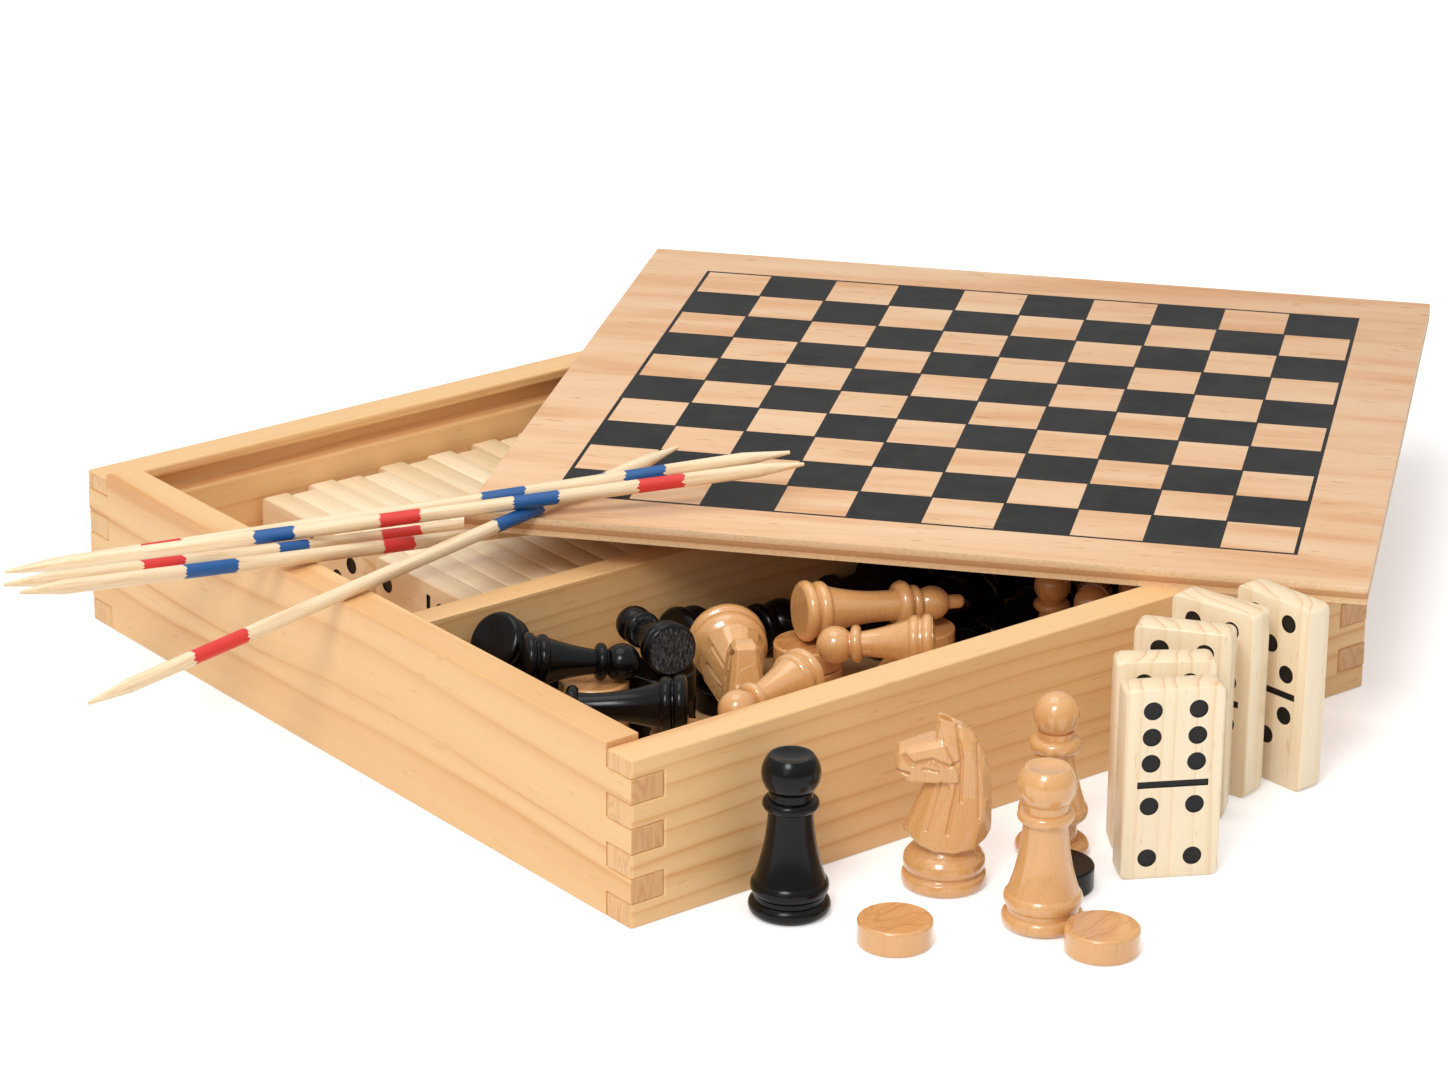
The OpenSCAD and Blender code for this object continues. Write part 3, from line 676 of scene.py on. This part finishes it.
# The radii of the foot's two rings
FOOT_R, FOOT_UPPER_R = 10.7, 10.3
# The grid that joins the knight's shapes, in millimetres, and how much it is smoothed
GRID, SMOOTH, SMOOTH_ROUNDS = 0.25, 0.5, 2


def hull(bm, points):
    """Adds the convex shape round points; a point (x, y, z) with y > 0 is mirrored to -y."""
    verts = []
    for x, y, z in points:
        verts.append(bm.verts.new((x, y, z)))
        if y:
            verts.append(bm.verts.new((x, -y, z)))
    made = bmesh.ops.convex_hull(bm, input=verts)
    bmesh.ops.delete(bm, geom=[v for v in made["geom_interior"] if isinstance(v, bmesh.types.BMVert)],
                     context="VERTS")


def lathe(bm, profile):
    """Adds a closed turned shape; profile is (radius, height) from the foot up."""
    rows = []
    for radius, z in profile:
        rows.append([bm.verts.new((radius * math.cos(2 * math.pi * i / LATHE_SIDES),
                                   radius * math.sin(2 * math.pi * i / LATHE_SIDES), z))
                     for i in range(LATHE_SIDES)])
    for low, high in zip(rows, rows[1:]):
        for i in range(LATHE_SIDES):
            j = (i + 1) % LATHE_SIDES
            bm.faces.new((low[i], low[j], high[j], high[i]))
    bm.faces.new(rows[0][::-1])
    bm.faces.new(rows[-1])


def carve(data, lines):
    """Presses V-shaped grooves into a fine mesh. A line is (x0, z0, x1, z1, half width, depth, y) in
    millimetres: only points at least y away from the middle plane follow it."""
    count = len(data.vertices)
    place, normal = np.empty(count * 3), np.empty(count * 3)
    data.vertices.foreach_get("co", place)
    data.vertices.foreach_get("normal", normal)
    place, normal = place.reshape(-1, 3) / MM, normal.reshape(-1, 3)
    push = np.zeros(count)
    for x0, z0, x1, z1, width, deep, from_y in lines:
        start, run = np.array((x0, z0)), np.array((x1 - x0, z1 - z0))
        flat = place[:, (0, 2)] - start
        share = np.clip(flat @ run / (run @ run), 0, 1)
        away = np.linalg.norm(flat - share[:, None] * run, axis=1)
        near = np.clip(1 - away / width, 0, 1)
        push = np.maximum(push, near * deep * (np.abs(place[:, 1]) >= from_y))
    place -= normal * push[:, None]
    data.vertices.foreach_set("co", (place * MM).ravel())
    data.update()


def knight_mesh():
    """A knight on the origin that looks along -x."""
    bm = bmesh.new()
    r, r2 = FOOT_R, FOOT_UPPER_R
    lathe(bm, [(r - 0.9, 0.05), (r - 0.25, 0.6), (r, 1.9), (r - 0.25, 3.2), (r - 1.2, 3.9), (r2 - 1.0, 4.2),
               (r2 - 0.2, 5.0), (r2, 6.4), (r2 - 0.3, 7.7), (r2 - 1.1, 8.8), (r2 - 2.3, 9.7), (7.2, 10.6),
               (7.0, 11.4), (7.4, 12.4)])
    # The chest, cut flat at the front and drawn in under the throat
    hull(bm, [(-10.4, 1.6, 14.8), (-9.6, 3.4, 15.6), (-7.0, 6.8, 13.4), (-3.0, 8.6, 12.0), (2.0, 8.8, 11.6),
              (6.6, 7.6, 12.2), (9.8, 4.4, 13.8), (11.2, 2.0, 15.4), (-6.4, 3.6, 12.4),
              (-4.4, 1.4, 28.6), (-2.4, 3.0, 29.4), (2.4, 4.6, 28.0), (9.6, 4.4, 24.0), (10.8, 2.0, 24.0)])
    # The neck and mane, up to the poll
    hull(bm, [(11.3, 1.8, 16.5), (11.2, 1.5, 25.6), (10.4, 1.5, 31.0), (9.2, 1.5, 35.2), (6.6, 1.5, 40.0),
              (3.4, 1.6, 42.8), (1.2, 2.0, 43.2), (0.6, 3.2, 41.6), (9.0, 4.4, 22.0), (8.4, 4.4, 30.0),
              (5.8, 4.4, 37.0), (2.8, 5.2, 22.0), (-0.4, 4.6, 30.0), (-1.4, 4.6, 34.0), (-0.4, 4.2, 39.4),
              (-1.0, 2.6, 27.0), (-1.4, 3.6, 31.0)])
    # The head, narrower at the muzzle, with a flat nose and a square jaw
    hull(bm, [(-12.9, 2.2, 31.8), (-12.8, 2.2, 34.2), (-11.8, 2.2, 36.8), (-12.2, 2.6, 35.6),
              (-11.8, 3.4, 32.0), (-11.4, 3.4, 35.4), (-1.4, 3.4, 40.2), (-1.0, 4.8, 38.4), (0.6, 5.4, 35.4),
              (2.4, 5.4, 32.0), (2.8, 5.3, 29.2), (-1.0, 5.2, 28.8), (-8.4, 4.0, 28.6), (-10.2, 3.4, 29.0),
              (-12.2, 2.4, 30.2)])
    # The ears
    for side in (1, -1):
        points = [(-3.2, 0.9, 38.6), (3.4, 1.2, 38.0), (-3.0, 3.6, 38.2), (3.4, 4.2, 37.0), (-2.2, 1.4, 44.9),
                  (-1.8, 3.0, 44.6), (2.6, 3.2, 42.6), (2.8, 1.4, 43.0)]
        verts = [bm.verts.new((x, side * y, z)) for x, y, z in points]
        bmesh.ops.convex_hull(bm, input=verts)
    bmesh.ops.recalc_face_normals(bm, faces=bm.faces)
    obj = new_object("knight_block", bm)
    remesh = obj.modifiers.new("union", "REMESH")
    remesh.mode, remesh.voxel_size = "VOXEL", GRID * MM
    soften = obj.modifiers.new("soften", "SMOOTH")
    soften.factor, soften.iterations = SMOOTH, SMOOTH_ROUNDS
    settle(obj)

    # Cuts: mouth, nostril and brow, the cheek's edge, the mane, and the facets of the chest
    carve(obj.data, [
        (-13.6, 31.4, -9.6, 30.8, 0.6, 1.0, 0.0),
        (-10.6, 35.4, -8.6, 33.2, 0.8, 1.1, 1.6),
        (-8.6, 33.2, -3.8, 34.8, 0.8, 1.1, 1.6),
        (-3.8, 34.8, 0.0, 33.4, 0.7, 1.0, 1.6),
        (0.0, 33.4, 3.0, 34.2, 0.6, 0.9, 1.6),
        (-6.0, 32.2, -2.4, 31.8, 0.5, 0.7, 1.6),
        (-4.4, 33.8, -2.6, 33.0, 0.7, 0.6, 1.6),
        (2.2, 44.0, 3.4, 35.0, 0.7, 1.1, 1.6),
        (3.4, 35.0, 3.4, 24.0, 0.6, 0.8, 1.6),
        (2.6, 28.6, 0.2, 16.5, 0.7, 0.9, 1.6),
        (-1.6, 28.8, -5.0, 17.0, 0.5, 0.5, 1.6),
        (7.4, 38.0, 8.0, 20.0, 0.6, 0.6, 1.0),
    ])
    obj.data.shade_smooth()
    mesh = obj.data
    bpy.data.objects.remove(obj)
    return mesh


def laid_matrix(x, y, z, yaw, rests):
    """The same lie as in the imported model: on the two given radii at heights along the piece."""
    (foot_r, foot_z), (head_r, head_z) = rests
    tip = math.asin((foot_r - head_r) / (head_z - foot_z))
    lift = z + REST_GAP + foot_r * math.cos(tip) + foot_z * math.sin(tip)
    return (Matrix.Translation((x * MM, y * MM, lift * MM)) @ Matrix.Rotation(math.radians(yaw), 4, "Z")
            @ Matrix.Rotation(math.pi / 2 + tip, 4, "Y"))


def add_knights():
    mesh = knight_mesh()
    stand = (Matrix.Translation((KNIGHT_X * MM, KNIGHT_Y * MM, 0))
             @ Matrix.Rotation(math.radians(KNIGHT_YAW), 4, "Z"))
    lie = laid_matrix(LYING_KNIGHT_X, LYING_KNIGHT_Y, ONE_HIGH, LYING_KNIGHT_YAW, KNIGHT_RESTS)
    for name, node, body, matrix in (
            ("knight_carved_outside", "knight_natural_outside", "knight_natural_outside", stand),
            ("knight_carved_tray", "knight_natural", "box", lie)):
        data = mesh.copy()
        data.transform(matrix)
        data.materials.append(nodes[node].data.materials[0])
        obj = add_object(name, data)
        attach(obj, body)
        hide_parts(node)


black = black_lacquer("black_lacquer")
for index, name in enumerate(sorted(nodes)):
    if "natural" in name:
        set_material(name, natural("natural_" + name, 7.0 * index, name.startswith("draught")))
    elif "black" in name:
        set_material(name, black)

# This pawn's foot faces the viewer: it points away from the head, tipped a little down
foot_way = laid_matrix(0, 0, 0, WORN_PAWN_YAW, PAWN_RESTS).to_3x3() @ Vector((0.0, 0.0, -1.0))
set_material("pawn_black_2", black_lacquer("black_lacquer_worn_foot", tuple(foot_way)))

# After the lacquers, because the carved knights take them over from their nodes
add_knights()


# Floor, background and lights

FLOOR_REACH = 6.0
FLOOR_STOPS = [(0.3, srgb(236, 235, 235)), (0.7, srgb(240, 239, 239))]
# The floor's own light, seen by the camera and in glossy and clear surfaces
FLOOR_LIFT = 0.32
# The background's strength at the horizon and above WORLD_TOP, a share of the way up
WORLD_LOW, WORLD_HIGH, WORLD_TOP = 0.38, 0.78, 0.8
# Area lamps: name, place, aim, size, power
LAMPS = (("softbox_top", (-0.1, 0.15, 1.3), (0.0, 0.0, 0.0), (0.8, 0.8), 4.0),
         ("softbox_left", (-1.1, -0.7, 0.7), (0.0, 0.0, 0.03), (0.5, 0.7), 1.2),
         ("key", (-0.9, -0.65, 1.2), (0.0, 0.0, 0.03), (0.42, 0.42), 9.5))


def add_floor():
    data = bpy.data.meshes.new("floor")
    corners = [(x * FLOOR_REACH, y * FLOOR_REACH, 0) for x, y in ((-1, -1), (1, -1), (1, 1), (-1, 1))]
    data.from_pydata(corners, [], [(0, 1, 2, 3)])
    s = Shade("floor_white", roughness=0.7)
    s.colour(s.ramp(s.noise(s.local(), 0.004), FLOOR_STOPS))
    path = s.tree.nodes.new("ShaderNodeLightPath")
    seen = s.math("MAXIMUM", path.outputs["Is Camera Ray"], path.outputs["Is Glossy Ray"])
    seen = s.math("MAXIMUM", seen, path.outputs["Is Transmission Ray"])
    glow = s.tree.nodes.new("ShaderNodeEmission")
    s.put(glow.inputs["Strength"], s.math("MULTIPLY", seen, FLOOR_LIFT))
    total = s.tree.nodes.new("ShaderNodeAddShader")
    s.put(total.inputs[0], s.bsdf.outputs[0])
    s.put(total.inputs[1], glow.outputs[0])
    s.put(s.tree.nodes["Material Output"].inputs["Surface"], total.outputs[0])
    data.materials.append(s.mat)
    floor = add_object("floor", data)


def add_world():
    """A pale studio, dimmer towards the horizon. The camera sees only the floor."""
    world = bpy.data.worlds.new("studio")
    scene.world = world
    world.use_nodes = True
    tree = world.node_tree
    coord = tree.nodes.new("ShaderNodeTexCoord")
    split = tree.nodes.new("ShaderNodeSeparateXYZ")
    level = tree.nodes.new("ShaderNodeMapRange")
    for key, value in (("From Min", 0.0), ("From Max", WORLD_TOP), ("To Min", WORLD_LOW),
                       ("To Max", WORLD_HIGH)):
        level.inputs[key].default_value = value
    tree.links.new(coord.outputs["Generated"], split.inputs[0])
    tree.links.new(split.outputs[2], level.inputs["Value"])
    background = tree.nodes["Background"]
    tree.links.new(level.outputs[0], background.inputs["Strength"])
    background.inputs["Color"].default_value = (1.0, 1.0, 1.0, 1.0)


def add_lamp(name, place, aim, size, power):
    data = bpy.data.lights.new(name, "AREA")
    data.shape, data.energy = "RECTANGLE", power
    data.size, data.size_y = size
    lamp = add_object(name, data)
    lamp.location = place
    lamp.rotation_euler = (Vector(aim) - Vector(place)).to_track_quat("-Z", "Y").to_euler()


add_floor()
add_world()
for lamp in LAMPS:
    add_lamp(*lamp)
